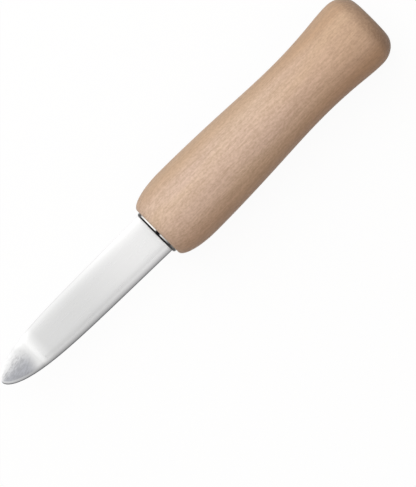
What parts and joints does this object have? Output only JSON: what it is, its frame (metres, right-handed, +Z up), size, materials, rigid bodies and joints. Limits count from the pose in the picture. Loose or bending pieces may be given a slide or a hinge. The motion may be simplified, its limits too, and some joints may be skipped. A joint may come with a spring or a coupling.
{
  "type": "oyster knife",
  "caption": "Oyster knife: wide stainless blade with a turned-up tip, polished ferrule and a lathe-turned pale hardwood handle.",
  "frame": {"origin": "centre of the footprint of the knife lying on its side, on the surface that it lies on", "axes": "+X along the handle towards the blade's tip, +Z up out of the blade's flat face, the way the tip turns up, +Y across the blade"},
  "size_m": [0.17, 0.0272, 0.0271],
  "materials": {
    "stainless_steel": "satin ground",
    "polished_steel": "polished",
    "hardwood": "fine sanded, bare",
    "cement": "cured resin"
  },
  "bodies": {
    "root": {"blade": "stainless_steel", "ferrule": "polished_steel", "handle": "hardwood", "tang_cement": "cement"}
  },
  "joints": []
}
